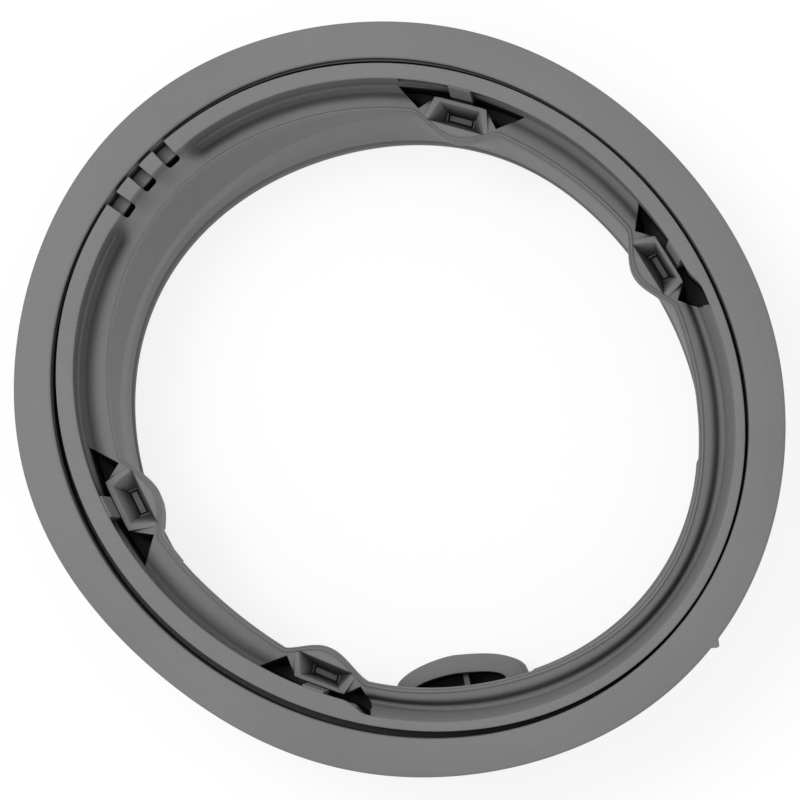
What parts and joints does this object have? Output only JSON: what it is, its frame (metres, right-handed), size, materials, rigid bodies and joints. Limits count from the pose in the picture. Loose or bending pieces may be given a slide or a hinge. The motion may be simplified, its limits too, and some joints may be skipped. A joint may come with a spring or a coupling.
{
  "type": "washing machine door seal",
  "caption": "Oval rubber bellows ring that seals the door opening to the tub, with spray nozzle bosses, drain notches and an inlet hood.",
  "frame": {"origin": "middle of the outline, on the plane of the rear rim", "axes": "+Z along the ring axis towards the door, +Y towards the mark on the outer edge that is at the top once fitted, +X to the right as seen from the door"},
  "size_m": [0.3853, 0.4266, 0.076],
  "materials": {
    "seal_rubber": "matt moulded grey rubber"
  },
  "bodies": {
    "root": {"door_seal": "seal_rubber"}
  },
  "joints": []
}
